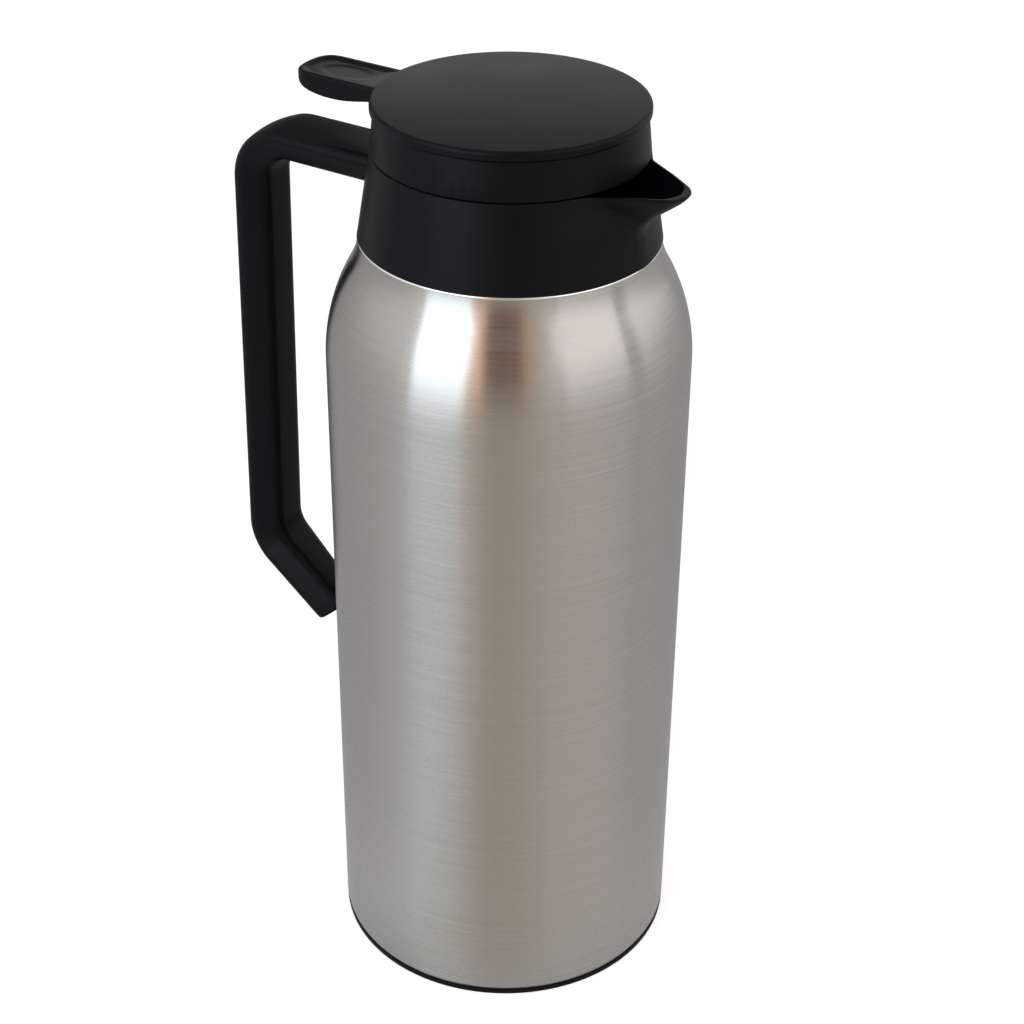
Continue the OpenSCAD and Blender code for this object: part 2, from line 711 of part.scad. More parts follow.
module lid_flap() {
    color([0.06, 0.065, 0.075])
    difference() {
        union() {
            rotate_extrude()
            polygon(concat([[0, lid_z0], [lid_r - lid_edge, lid_z0], [lid_r, lid_z0 + lid_edge]],
                arc(lid_r - lid_edge, lid_z1 - lid_edge, lid_edge, 0, 90, 4), [[0, lid_z1]]));
            intersection() {
                rotate([90, 0, 0])
                linear_extrude(height = lever_w + 2, center = true)
                    polygon(lever_side);
                translate([0, 0, lever_low_z - 1])
                linear_extrude(height = 12)
                    polygon(lever_plan);
            }
            rod_y(-hinge_x, hinge_z, knuckle_r, knuckle_w);
            translate([-hinge_x - knuckle_r, -knuckle_w / 2, hinge_z])
                cube([2 * knuckle_r, knuckle_w, lid_z0 - hinge_z + eps]);
        }
        translate([-recess_x, 0, lever_z1 + recess_r - recess_d])
            sphere(r = recess_r);
        rod_y(-hinge_x, hinge_z, pin_r + run, 60);
        for (q = cover_screws)
            translate([q[0], q[1], lid_z0 - 1])
                cylinder(r = cover_screw_r + fix, h = 3);
    }
}

// The plate under the lid carries the fork that lifts the valve stem
fork_gap = 0.6;
fork_t = 2.4;
fork_x0 = -6;
fork_x1 = 8;
fork_drop = 3.6;
slot_slack = 0.4;
slot_run = 3.4;
module flap_cover() {
    color([0.09, 0.09, 0.1])
    difference() {
        union() {
            intersection() {
                translate([0, 0, lid_z0 - cover_t])
                    cylinder(r = cover_r, h = cover_t);
                translate([-cover_x, -cover_r, lid_z0 - cover_t])
                    cube([cover_x + cover_r, 2 * cover_r, cover_t]);
            }
            for (side = [-1, 1])
                translate([fork_x0, side * (stem_r + fork_gap + fork_t / 2) - fork_t / 2,
                    hinge_z - fork_drop])
                    cube([fork_x1 - fork_x0, fork_t, lid_z0 - cover_t - hinge_z + fork_drop + eps]);
        }
        // Slot for the cross head, with the play that the lid's swing takes
        rod_y(0, hinge_z, cross_r + slot_slack, 30);
        rod_y(slot_run, hinge_z, cross_r + slot_slack, 30);
        translate([0, -15, hinge_z - cross_r - slot_slack])
            cube([slot_run, 30, 2 * (cross_r + slot_slack)]);
        // Room for the top of the stem
        translate([0, 0, hinge_z])
            cylinder(r = stem_r + fork_gap, h = lid_z0 - hinge_z - 0.6);
        translate([0, -stem_r - fork_gap, hinge_z])
            cube([slot_run, 2 * (stem_r + fork_gap), lid_z0 - hinge_z - 0.6]);
        for (q = cover_screws)
            translate([q[0], q[1], lid_z0 - cover_t - 1])
                cylinder(r = cover_screw_r + fix, h = cover_t + 2);
    }
}

module cover_screws() {
    color([0.6, 0.6, 0.6])
    for (q = cover_screws)
        translate([q[0], q[1], lid_z0 - cover_t - 1.1]) {
            cylinder(r = cover_screw_r, h = cover_t + 2.8);
            cylinder(r = 2 * cover_screw_r, h = 1.1);
        }
}

outer_shell();
inner_flask();
base_plate();
vacuum_seal();
getter_capsule();
base_ring();
base_pad();
neck_gasket();
collar();
handle();
handle_bracket();
handle_screw_lower();
handle_screws_upper();
stopper_body();
stopper_base();
stopper_gasket();
valve_stem();
valve_gasket();
valve_spring();
hinge_pin();
lid_flap();
flap_cover();
cover_screws();
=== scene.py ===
"""Thermal carafe with a flip lid: a brushed steel vacuum flask, a black collar with a
spout and a handle, a screwed stopper with a lift valve, and a lid with a thumb lever.
The axis of the flask is Z and the spout points to +X. Shapes are written in millimetres."""
import math

import bmesh
import bpy
import numpy as np
from mathutils import Matrix, Vector


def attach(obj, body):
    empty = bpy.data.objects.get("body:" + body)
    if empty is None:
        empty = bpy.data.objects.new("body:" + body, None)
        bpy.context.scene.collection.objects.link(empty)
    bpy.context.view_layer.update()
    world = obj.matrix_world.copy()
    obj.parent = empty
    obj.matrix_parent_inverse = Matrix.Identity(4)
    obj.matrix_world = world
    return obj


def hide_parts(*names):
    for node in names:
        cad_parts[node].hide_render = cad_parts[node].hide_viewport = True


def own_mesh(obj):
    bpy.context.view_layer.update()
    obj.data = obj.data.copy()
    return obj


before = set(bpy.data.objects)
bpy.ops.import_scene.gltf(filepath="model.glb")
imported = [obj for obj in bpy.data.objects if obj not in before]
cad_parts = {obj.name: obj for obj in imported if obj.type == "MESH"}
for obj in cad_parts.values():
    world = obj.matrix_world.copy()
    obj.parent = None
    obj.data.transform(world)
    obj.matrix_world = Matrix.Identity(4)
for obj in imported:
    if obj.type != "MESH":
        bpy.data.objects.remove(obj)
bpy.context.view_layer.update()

# The outer wall of the flask: one drawn tube of stainless steel, its shoulder and its neck
# spun in, then brushed round and round on the lathe. It is thin, and open at both ends.
WALL = 0.8
BODY_R = 58.0
FOOT_Z = 2.0
FOOT_CURL = ((0.75, 0.0), (0.2, 0.9), (0.0, 1.9))
SHOULDER_X, SHOULDER_Z, SHOULDER_R, SHOULDER_TURN = -4.0, 221.6, 62.0, 29.4
FLARE_R, FLARE_END = 26.5, 5.0
FLARE_X = SHOULDER_X + (SHOULDER_R + FLARE_R) * math.cos(math.radians(SHOULDER_TURN))
FLARE_Z = SHOULDER_Z + (SHOULDER_R + FLARE_R) * math.sin(math.radians(SHOULDER_TURN))
SEAT_Z = FLARE_Z - FLARE_R * math.sin(math.radians(FLARE_END))
NECK_R, NECK_FILLET = 38.0, 0.4
LIP_Z = SEAT_Z + 9.8


def arc(x, y, radius, start, end, steps=16):
    """Points of a circle round (x, y): the centre plus the radius times (cos a, sin a)."""
    a = np.radians(np.linspace(start, end, steps + 1))
    return np.stack([x + radius * np.cos(a), y + radius * np.sin(a)], 1)


def quads(rows, columns, ring=True, loop=False):
    """Corner numbers of the cells of a grid: i, i + 1 and the same in the next row."""
    r = np.arange(rows if loop else rows - 1)[:, None]
    c = np.arange(columns if ring else columns - 1)[None]
    a, b = r * columns + c, r * columns + (c + 1) % columns
    d, e = (r + 1) % rows * columns + c, (r + 1) % rows * columns + (c + 1) % columns
    return np.stack([a, b, e, d], -1).reshape(-1, 4).tolist()


def turned(profile, steps=192, loop=True):
    """A profile of (radius, height) carried round Z: (r cos t, r sin t, z)."""
    p = np.asarray(profile, float)
    t = np.linspace(0, 2 * math.pi, steps, endpoint=False)
    grid = np.stack([p[:, :1] * np.cos(t), p[:, :1] * np.sin(t), p[:, 1:] + 0 * t], -1)
    return grid.reshape(-1, 3), quads(len(p), steps, loop=loop)


def surface(name, parts):
    """One mesh of closed surfaces, each its points in millimetres and its faces. Points
    that meet are merged, faces without an area dropped, and the others turned outwards."""
    firsts = np.cumsum([0] + [len(points) for points, _ in parts]).tolist()
    faces = [[i + first for i in face] for (_, cells), first in zip(parts, firsts) for face in cells]
    mesh = bpy.data.meshes.new(name)
    mesh.from_pydata((np.concatenate([points for points, _ in parts]) * 0.001).tolist(), [], faces)
    build = bmesh.new()
    build.from_mesh(mesh)
    bmesh.ops.remove_doubles(build, verts=build.verts, dist=1e-6)
    bmesh.ops.dissolve_degenerate(build, edges=build.edges, dist=1e-7)
    bmesh.ops.recalc_face_normals(build, faces=build.faces)
    build.to_mesh(mesh)
    build.free()
    return mesh


def settle(name, mesh, body, material, stands_for, crease):
    """Links a finished mesh, shades it smooth up to the crease angle, and gives it its body and material."""
    obj = bpy.data.objects.new(name, mesh)
    bpy.context.scene.collection.objects.link(obj)
    mesh.polygons.foreach_set("use_smooth", [True] * len(mesh.polygons))
    mesh.set_sharp_from_angle(angle=math.radians(crease))
    mesh.materials.clear()
    mesh.materials.append(material)
    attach(obj, body)
    if stands_for:
        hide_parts(*stands_for)
    return obj


def piece(name, parts, body, material, stands_for, crease=32):
    """A new piece made of closed surfaces."""
    return settle(name, surface(name, parts), body, material, stands_for, crease)


class Wire:
    """A socket of a shader tree. Arithmetic on it adds Math nodes."""

    def __init__(self, tree, socket=None):
        self.tree, self.socket = tree, socket

    def node(self, kind, settings=(), values=(), out=0):
        """Adds a node: its settings first, then the values or links of its sockets."""
        made = self.tree.nodes.new(kind)
        for key, value in dict(settings).items():
            if key == "stops":
                ramp = made.color_ramp
                while len(ramp.elements) < len(value):
                    ramp.elements.new(0.5)
                for element, (place, shade) in zip(ramp.elements, value):
                    element.position, element.color = place, shade
            else:
                setattr(made, key, value)
        for key, value in dict(values).items():
            if isinstance(value, Wire):
                self.tree.links.new(value.socket, made.inputs[key])
            else:
                made.inputs[key].default_value = value
        return Wire(self.tree, made.outputs[out])

    def maths(self, operation, first, second):
        """A number worked out from two others."""
        return self.node("ShaderNodeMath", {"operation": operation}, {0: first, 1: second})

    def __add__(self, other):
        return self.maths("ADD", self, other)

    __radd__ = __add__

    def __mul__(self, other):
        return self.maths("MULTIPLY", self, other)

    __rmul__ = __mul__

    def __lt__(self, other):
        return self.maths("LESS_THAN", self, other)

    def noise(self, scale, detail=2.0, roughness=0.5):
        """A cloudy number about 0.5, with this many clouds to the metre."""
        return self.node("ShaderNodeTexNoise", {"noise_dimensions": "3D"},
                         {"Vector": self, "Scale": scale, "Detail": detail, "Roughness": roughness})

    def stretched(self, x, y, z):
        """This place with each of its three lengths multiplied."""
        return self.node("ShaderNodeMapping", {}, {"Vector": self, "Scale": (x, y, z)})

    def between(self, dark, light):
        """A colour mixed from dark to light by this number."""
        return self.node("ShaderNodeMix", {"data_type": "RGBA"},
                         {0: self, 6: (*dark, 1), 7: (*light, 1)}, out=2)

    def raised(self, strength, distance):
        """A bump whose height is this number."""
        return self.node("ShaderNodeBump", {}, {"Strength": strength, "Distance": distance,
                                                "Height": self})

    def shown(self, kind="ShaderNodeOutputMaterial"):
        """Links this shader to the output of its tree."""
        self.tree.links.new(self.socket, self.tree.nodes.new(kind).inputs[0])


def emptied(owner):
    """The shader tree of a material or of a world, with nothing in it."""
    owner.use_nodes = True
    owner.node_tree.nodes.clear()
    return Wire(owner.node_tree)


def finish(name, paint):
    """A material with one Principled shader. paint(place) returns its values by socket."""
    material = bpy.data.materials.new(name)
    tree = emptied(material)
    place = tree.node("ShaderNodeTexCoord", out="Object")
    tree.node("ShaderNodeBsdfPrincipled", {}, paint(place)).shown()
    return material


def brushed_round(dark, light, roughness, anisotropic, depth):
    """Paint of steel brushed round Z: noise long in X and Y and fine in Z, in three sizes."""
    def paint(place):
        hair = place.stretched(26, 26, 3600).noise(1.0, 3.0, 0.65)
        line = place.stretched(11, 11, 1300).noise(1.0, 3.0, 0.6)
        cloud = place.stretched(14, 14, 9).noise(1.0, 2.0)
        mark = hair * 0.45 + line * 0.55
        strong = place.node("ShaderNodeMapRange", {"clamp": True}, {0: mark, 1: 0.3, 2: 0.7})
        return {"Base Color": (strong * 0.8 + cloud * 0.2).between(dark, light),
                "Metallic": 1.0, "Roughness": strong * 0.06 + cloud * 0.04 + (roughness - 0.05),
                "Anisotropic": anisotropic, "Anisotropic Rotation": 0.25,
                "Normal": mark.raised(depth, 0.00005)}
    return paint


def shell_line(inset):
    """The wall from its curled foot over the shoulder to the lip, set inwards."""
    return np.concatenate([
        [[BODY_R - curl - inset, FOOT_Z + up] for curl, up in FOOT_CURL],
        arc(SHOULDER_X, SHOULDER_Z, SHOULDER_R - inset, 0, SHOULDER_TURN, 28),
        arc(FLARE_X, FLARE_Z, FLARE_R + inset, 180 + SHOULDER_TURN, 180 + FLARE_END, 16)[1:],
        [[NECK_R - inset + NECK_FILLET, SEAT_Z - inset], [NECK_R - inset, SEAT_Z - inset + NECK_FILLET],
         [NECK_R - inset, LIP_Z]]])


outer_steel = finish("brushed_outer_steel", brushed_round((0.405, 0.39, 0.364), (0.468, 0.452, 0.424),
                                                          0.275, 0.95, 0.1))
piece("flask_outer_wall", [turned(np.concatenate([shell_line(0), shell_line(WALL)[::-1]]), 288)],
      "flask", outer_steel, ["outer_shell"])

# Where the collar sits down, the outer wall ends in a narrow rolled edge. It is polished,
# not brushed, and shows as a thin bright line under the black collar.
ROLL_R, ROLL_THICK, ROLL_DROP = 46.62, 1.0, 0.55
polished = finish("polished_steel_edge", lambda place: {
    "Base Color": place.noise(300, 2).between((0.80, 0.79, 0.76), (0.88, 0.87, 0.84)),
    "Metallic": 1.0, "Roughness": place.noise(900, 2) * 0.06 + 0.14,
    "Normal": place.noise(1500, 2).raised(0.05, 0.00002)})
piece("rolled_edge", [turned(arc(ROLL_R, SEAT_Z - ROLL_DROP, ROLL_THICK / 2, 0, 360, 20)[:-1], 192)],
      "flask", polished, None)

# The inner flask holds the drink: a second drawn tube with a rounded bottom. Its lip is
# turned out over the neck of the outer wall and welded there, and the gap holds a vacuum.
MOUTH_R = 34.5
VACUUM = 3.7
PLATE_Z = 5.0
BOTTOM_ROUND, BOTTOM_FLAT = 10, 20
THROAT, THROAT_BEND, THROAT_FLARE = 6, 1.6, 1.2
LIP_TOP, LIP_ROUND, MOUTH_CHAMFER = LIP_Z + WALL, 0.35, 0.3


def rounded(corners, radius, steps=5, closed=True):
    """Each corner becomes an arc tangent to its two sides. The arc's ends lie r / tan(half
    the corner's angle) away, and its points are the arc's ends mixed by sines of the turn."""
    q = np.asarray(corners, float)
    radii = np.broadcast_to(np.asarray(radius, float), len(q))
    out = []
    for i, (point, r) in enumerate(zip(q, radii)):
        if r <= 0 or (not closed and i in (0, len(q) - 1)):
            out.append(point[None])
            continue
        u, v = q[i - 1] - point, q[(i + 1) % len(q)] - point
        u, v = u / np.linalg.norm(u), v / np.linalg.norm(v)
        half = math.acos(np.clip(u @ v, -1, 1)) / 2
        turn = math.pi - 2 * half
        if turn < 1e-3:
            out.append(point[None])
            continue
        middle = point + (u + v) / np.linalg.norm(u + v) * r / math.sin(half)
        a, b = point + u * r / math.tan(half) - middle, point + v * r / math.tan(half) - middle
        t = np.linspace(0, 1, steps + 1)[:, None]
        out.append(middle + (np.sin(turn * (1 - t)) * a + np.sin(turn * t) * b) / math.sin(turn))
    return np.concatenate(out)


def flask_line(inset):
    """The inner wall from the middle of its bottom up to its lip, set inwards."""
    gap = WALL + VACUUM
    bottom = PLATE_Z + gap
    throat_r = MOUTH_R + WALL - inset
    return np.concatenate([
        [[0, bottom + inset], [BOTTOM_FLAT, bottom + inset]],
        arc(BODY_R - gap - BOTTOM_ROUND, bottom + BOTTOM_ROUND, BOTTOM_ROUND - inset, 270, 360, 12),
        arc(SHOULDER_X, SHOULDER_Z, SHOULDER_R - gap - inset, 0, SHOULDER_TURN, 20),
        [[throat_r + THROAT_FLARE, SEAT_Z - THROAT - THROAT_BEND], [throat_r, SEAT_Z - THROAT],
         [throat_r, LIP_Z]]])


lip = rounded([[NECK_R, LIP_Z], [NECK_R, LIP_TOP], [MOUTH_R, LIP_TOP]], [0, LIP_ROUND, 0], 4, False)
mouth = [[MOUTH_R + MOUTH_CHAMFER, LIP_TOP], [MOUTH_R, LIP_TOP - MOUTH_CHAMFER]]
inner_steel = finish("smooth_inner_steel", brushed_round((0.46, 0.45, 0.43), (0.56, 0.55, 0.53),
                                                         0.26, 0.5, 0.15))
piece("flask_inner_wall",
      [turned(np.concatenate([flask_line(0), lip[:-1], mouth, flask_line(WALL)[::-1][1:]]), 192, False)],
      "flask", inner_steel, ["inner_flask"])

# The bottom plate is pressed into the outer wall and welded. The air was drawn out through
# its port, which a brazed cap closes, and the getter capsule on it keeps the vacuum.
PLATE_R, PLATE_TOP, PORT_R = BODY_R - WALL, PLATE_Z + WALL, 1.2
CAP_R, CAP_LOW, CAP_TOP = 4.0, PLATE_Z - 1.2, PLATE_Z + 0.4
GETTER_X, GETTER_R, GETTER_H = 24, 6.0, 2.4


def bar(radius, low, high, edge_low, edge_high, steps=4, around=64):
    """A closed disc or bar about Z: a profile out from the axis, up and back, its two edges
    rounded, carried round."""
    corners = [[0, low], [radius, low], [radius, high], [0, high]]
    return turned(rounded(corners, [0, edge_low, edge_high, 0], steps, False), around, False)


piece("bottom_plate",
      [turned(rounded([[PORT_R, PLATE_Z], [PLATE_R, PLATE_Z], [PLATE_R, PLATE_TOP], [PORT_R, PLATE_TOP]],
                      0.2, 3), 192)],
      "flask", inner_steel, ["base_plate"])
braze = finish("brazed_cap_steel", lambda place: {
    "Base Color": place.noise(900, 3).between((0.22, 0.21, 0.2), (0.36, 0.34, 0.32)),
    "Metallic": 1.0, "Roughness": place.noise(400) * 0.2 + 0.35,
    "Normal": place.noise(1500, 3).raised(0.3, 0.00004)})
piece("port_cap",
      [turned(rounded([[0, CAP_LOW], [CAP_R, CAP_LOW], [CAP_R, PLATE_Z], [PORT_R, PLATE_Z],
                       [PORT_R, CAP_TOP], [0, CAP_TOP]], [0, 0.5, 0.1, 0, 0.1, 0], 4, False), 64, False)],
      "flask", braze, ["vacuum_seal"])
capsule, cells = bar(GETTER_R, PLATE_TOP, PLATE_TOP + GETTER_H, 0.1, 0.8, 5)
piece("getter", [(capsule + [GETTER_X, 0, 0], cells)], "flask", braze, ["getter_capsule"])

# The base ring is a black moulding that clips into the foot of the steel and shows as a
# thin line under it. The rubber pad lies in it, and the carafe stands on both.
BASE_R, PAD_R = BODY_R - 0.1, 50.0
CLIP_R, CLIP_TOP, FLANGE_R = 56.43, 4.6, 46


def moulded(dark, light, roughness, grain, level):
    """Paint of a fine matt moulding: faint mottling, a grain of about 0.3 mm, and a few
    specks of dust, which are the middles of widely spaced cells."""
    def paint(place):
        pebble = place.noise(2600, 3.0, 0.6)
        cloud = place.noise(45, 3.0)
        spot = place.node("ShaderNodeTexVoronoi", {"feature": "F1"},
                          {"Vector": place, "Scale": 75.0}, out="Distance")
        speck = spot < 0.012
        shade = cloud * 0.6 + pebble * 0.4
        return {"Base Color": shade.between(dark, light),
                "Roughness": pebble * 0.10 + cloud * 0.10 + (roughness - 0.1) + speck * 0.2,
                "Specular IOR Level": level,
                "Normal": pebble.raised(grain, 0.00004)}
    return paint


black = finish("black_matt_moulding", moulded((0.0012, 0.0014, 0.0024), (0.0030, 0.0033, 0.0048),
                                              0.40, 0.25, 0.11))
piece("base_ring_moulding",
      [turned(rounded([[PAD_R, 0], [BASE_R, 0], [BASE_R, FOOT_Z], [CLIP_R, FOOT_Z], [CLIP_R, CLIP_TOP],
                       [FLANGE_R, CLIP_TOP], [FLANGE_R, FOOT_Z], [PAD_R, FOOT_Z]],
                      [0.1, 0.6, 0.2, 0, 0.4, 0.3, 0, 0], 5), 288)],
      "flask", black, ["base_ring"])
soft_black = finish("pad_rubber", lambda place: {
    "Base Color": place.noise(60, 3).between((0.014, 0.014, 0.014), (0.026, 0.026, 0.025)),
    "Roughness": place.noise(700, 3) * 0.15 + 0.72,
    "Normal": place.noise(1800, 3).raised(0.4, 0.00006)})
piece("foot_pad", [bar(PAD_R, 0, FOOT_Z, 0.3, 0.3, around=192)], "flask", soft_black,
      ["base_pad"])

# The neck gasket is a flat silicone ring on the lip of the flask, which the ledge of the
# collar presses down so that nothing runs into the steel walls.
GASKET_IN, LEDGE_Z = 35.6, LIP_TOP + 1
silicone = finish("milky_silicone", lambda place: {
    "Base Color": place.noise(120, 3).between((0.60, 0.60, 0.56), (0.70, 0.70, 0.66)),
    "Roughness": place.noise(600, 2) * 0.1 + 0.42, "Subsurface Weight": 0.1,
    "Normal": place.noise(1200, 2).raised(0.15, 0.00004)})
piece("lip_seal",
      [turned(rounded([[GASKET_IN, LIP_TOP], [NECK_R, LIP_TOP], [NECK_R, LEDGE_Z], [GASKET_IN, LEDGE_Z]],
                      0.2, 3), 192)],
      "flask", silicone, ["neck_gasket"])

# The collar is one black moulding: a tapering sleeve over the neck, a ledge on the lip, a
# spout drawn out of its rim, and three helical ribs inside for the stopper's lugs.
COLLAR_H = 27
COLLAR_Z = SEAT_Z + COLLAR_H
LOWER_R, UPPER_R, BORE = 46.9, 42.5, 39.0
EDGE, EDGE_IN = 0.5, 0.35
SPOUT_SINK, TIP_SINK = 0.6, 0.5
SPREAD, SPOUT_END = math.radians(31), 1.1
TIP_X, TIP_R, TIP_TAPER, TIP_LEAST_R = 61.15, 8.0, 0.3, 3.0
KEEL_LOW, KEEL_TOP = 272.0, 289.15
keel = np.polyfit([KEEL_LOW, 275.4, 280.6, 283.2, 285.7, 287.8, KEEL_TOP],
                  [39.0, 44.4, 51.7, 55.2, 58.5, 60.8, TIP_X], 4)
HOLLOW_WIDER, TIP_WALL, LEAST_WALL = 0.9, 3.7, 0.95
LEDGE_H, SOCKET_R = 2, 38.02
GROOVE_IN, GROOVE_OUT, GROOVE_FOOT, GROOVE_H = 40.2, 43.2, 44.7, 9
LEAD = 32.0
LUG_Z, LUG_H = LEDGE_Z + 2.9, 2.9
RIB_START, RIB_SPAN, RIB_LAG, RIB_DEEP, RIB_H = 38, 44, 10, 2.4, 2.4


def fades(value, none, full):
    """0 at one value and 1 at the other, eased at both ends by 3 t^2 - 2 t^3."""
    t = np.clip((value - none) / (full - none), 0, 1)
    return t * t * (3 - 2 * t)


def sleeve(z):
    """The plain sleeve's radius: it shrinks evenly with height."""
    return LOWER_R + (UPPER_R - LOWER_R) * (z - SEAT_Z) / COLLAR_H


def spout(turn, z, widen=0.0, back=0.0):
    """The spout's radius seen from the axis: at each height it is a V of two lines tangent
    to a circle at the keel. A line is (d / sin(spread + turn)), the circle a distance along
    the ray, and the tangent point decides between them."""
    r = np.clip(TIP_R - TIP_TAPER * (KEEL_TOP - z), TIP_LEAST_R, TIP_R)
    centre = np.polyval(keel, np.clip(z, KEEL_LOW, KEEL_TOP)) - r - back
    r = r + widen
    a = np.abs(turn)
    touch = np.arctan2(r * math.cos(SPREAD), centre + r * math.sin(SPREAD))
    round_tip = centre * np.cos(a) + np.sqrt(np.maximum(r ** 2 - (centre * np.sin(a)) ** 2, 0))
    line = (centre * math.sin(SPREAD) + r) / np.sin(SPREAD + np.minimum(a, SPOUT_END))
    return np.where(a > SPOUT_END, 0, np.where(a < touch, round_tip, line))


def larger(a, b, blend):
    """The larger of two radii, with a smooth hollow of the given size between them."""
    return 0.5 * (a + b + np.sqrt((a - b) ** 2 + blend ** 2)) - 0.25 * blend ** 2 / (np.abs(a - b) + blend)


def outside(z):
    """The sleeve with the spout, joined by a hollow that grows from 1.2 to 7.7 lower down."""
    return larger(sleeve(z), spout(turns, z), 1.2 + 6.5 * fades(z, 287.5, 276))


def inside(z):
    """The bore with the hollow of the spout, whose wall is thick at the tip only."""
    hollow = larger(BORE + 0 * z, spout(turns, z, HOLLOW_WIDER, TIP_WALL), 0.8)
    return np.minimum(hollow, outside(z) - LEAST_WALL)


def capped(sections):
    """Closed sections of equal count joined in a row, with a flat face on each end."""
    rows, columns = sections.shape[:2]
    ends = [list(range(columns))[::-1], list(range((rows - 1) * columns, rows * columns))]
    return sections.reshape(-1, 3), quads(rows, columns) + ends


def helical(inner, outer, start, span, z, height):
    """A block between two radii that climbs as it turns: z grows by the lead a turn."""
    t = np.linspace(0, span, 25)[:, None]
    r = np.array([inner, outer, outer, inner])[None]
    up = np.array([0, 0, height, height])[None]
    a = np.radians(start + t)
    return capped(np.stack([r * np.cos(a), r * np.sin(a), z + LEAD * t / 360 + up], -1))


turns = np.radians(np.concatenate([np.linspace(-42, 42, 253), np.linspace(42, 318, 139)[1:-1]]))[None]
off = np.abs(turns)
rim_z = COLLAR_Z - SPOUT_SINK * fades(off, 0.52, 0.4) - TIP_SINK * fades(off, 0.24, 0.05)
share = np.concatenate([np.linspace(0, 0.36, 7), np.linspace(0.36, 1, 46)[1:]])[:, None]
wall_z = SEAT_Z + share * (rim_z - EDGE - SEAT_Z)
bend = np.radians(np.linspace(0, 90, 7))[1:, None]
lip_r = outside(rim_z - EDGE)
bore_r = inside(rim_z - EDGE_IN)
ledge_top = LEDGE_Z + LEDGE_H
down_z = rim_z - EDGE_IN + np.linspace(0, 1, 36)[1:, None] * (ledge_top - rim_z + EDGE_IN)
still = np.array([[GASKET_IN, ledge_top], [GASKET_IN, LEDGE_Z], [SOCKET_R, LEDGE_Z], [SOCKET_R, SEAT_Z],
                  [GROOVE_IN, SEAT_Z], [GROOVE_IN, SEAT_Z + GROOVE_H], [GROOVE_OUT, SEAT_Z + GROOVE_H],
                  [GROOVE_FOOT, SEAT_Z]])
radius_rows = np.concatenate([
    outside(wall_z), lip_r - EDGE + EDGE * np.cos(bend), bore_r + EDGE_IN - EDGE_IN * np.cos(bend[::-1]),
    bore_r, inside(down_z), still[:, :1] + 0 * turns])
height_rows = np.concatenate([
    wall_z, rim_z - EDGE + EDGE * np.sin(bend), rim_z - EDGE_IN + EDGE_IN * np.sin(bend[::-1]),
    rim_z - EDGE_IN, down_z, still[:, 1:] + 0 * turns])
sleeve_grid = np.stack([radius_rows * np.cos(turns), radius_rows * np.sin(turns), height_rows], -1)
rib_z = LUG_Z + LUG_H - LEAD * RIB_LAG / 360
ribs = [helical(BORE - RIB_DEEP, BORE + 1, a + RIB_START, RIB_SPAN, rib_z, RIB_H) for a in (0, 120, 240)]
piece("collar_and_spout",
      [(sleeve_grid.reshape(-1, 3), quads(len(radius_rows), turns.shape[1], loop=True))] + ribs,
      "flask", black, ["collar"], 40)

# The handle is a black moulding of a flattened, crowned section: an arm screwed to the
# collar, a long upright grip, and a slanted leg whose cut foot is screwed to the flask.
ARM_Z, ARM_END_X = COLLAR_Z - 9.4, -36
GRIP_X, GRIP_LOW_Z, GRIP_LEAN = -100.3, 120.7, math.radians(1.15)
LEG, LEG_LOW_Z, CUT = math.radians(41.9), 95.0, math.radians(40)
TOP_BEND, LOW_BEND, BEND_STEPS = 19.5, 20, 20
HALF_OUT, HALF_IN, THICK, CROWN = 13.4, 6.5, 11.2, 0.8
OUT_ROUND, IN_ROUND = 2.8, 4.8
FOOT_NARROWER, FOOT_THINNER, FOOT_ROUND, FOOT_DRAW = 0.18, 0.013, 1.2, 0.17
BOSS_R, BOSS_LENGTH, BOSS_X, BOSS_CUT_X = 6.4, 13, -57.4, -66
SCREW_Z = LEG_LOW_Z + BOSS_R + 1.2
HEAD_BORE_R, HEAD_SEAT_X = 3.8, -73.05


def even(a, b, steps):
    """Points between a and b at equal distances, without the last."""
    return a + (b - a) * np.linspace(0, 1, steps, endpoint=False)[:, None]


def rod_x(profile, x, z, steps=48):
    """A profile of (radius, length) turned about a line along -X from the point."""
    p, f = turned(profile, steps, False)
    return np.stack([x - p[:, 2], p[:, 1], z + p[:, 0]], 1), f


def bored(obj, cutter):
    """Cuts a hole: the cutter is a closed surface in millimetres, taken away exactly."""
    tool = bpy.data.objects.new("cutter", surface("cutter", [cutter]))
    bpy.context.scene.collection.objects.link(tool)
    cut = obj.modifiers.new("bore", "BOOLEAN")
    cut.operation, cut.solver, cut.object = "DIFFERENCE", "EXACT", tool
    bpy.context.view_layer.update()
    result = bpy.data.meshes.new_from_object(obj.evaluated_get(bpy.context.evaluated_depsgraph_get()))
    obj.modifiers.remove(cut)
    obj.data = result
    bpy.data.objects.remove(tool)


grip_top = np.array([GRIP_X, ARM_Z])
grip_low = np.array([GRIP_X - (ARM_Z - GRIP_LOW_Z) * math.tan(GRIP_LEAN), GRIP_LOW_Z])
foot_tip = np.array([grip_low[0] + (GRIP_LOW_Z - LEG_LOW_Z) / math.tan(LEG), LEG_LOW_Z])
bends = rounded([[ARM_END_X, ARM_Z], grip_top, grip_low, foot_tip], [0, TOP_BEND, LOW_BEND, 0],
                BEND_STEPS, False)
top_end, low_end = BEND_STEPS + 1, 2 * BEND_STEPS + 2
path = np.concatenate([even(bends[0], bends[1], 6), bends[1:top_end + 1],
                       even(bends[top_end], bends[top_end + 1], 16)[1:], bends[top_end + 1:low_end + 1],
                       even(bends[low_end], bends[-1], 8)[1:], bends[-1:]])
ahead = np.gradient(path, axis=0)
ahead[0], ahead[-1] = path[1] - path[0], path[-1] - path[-2]
ahead /= np.linalg.norm(ahead, axis=1)[:, None]
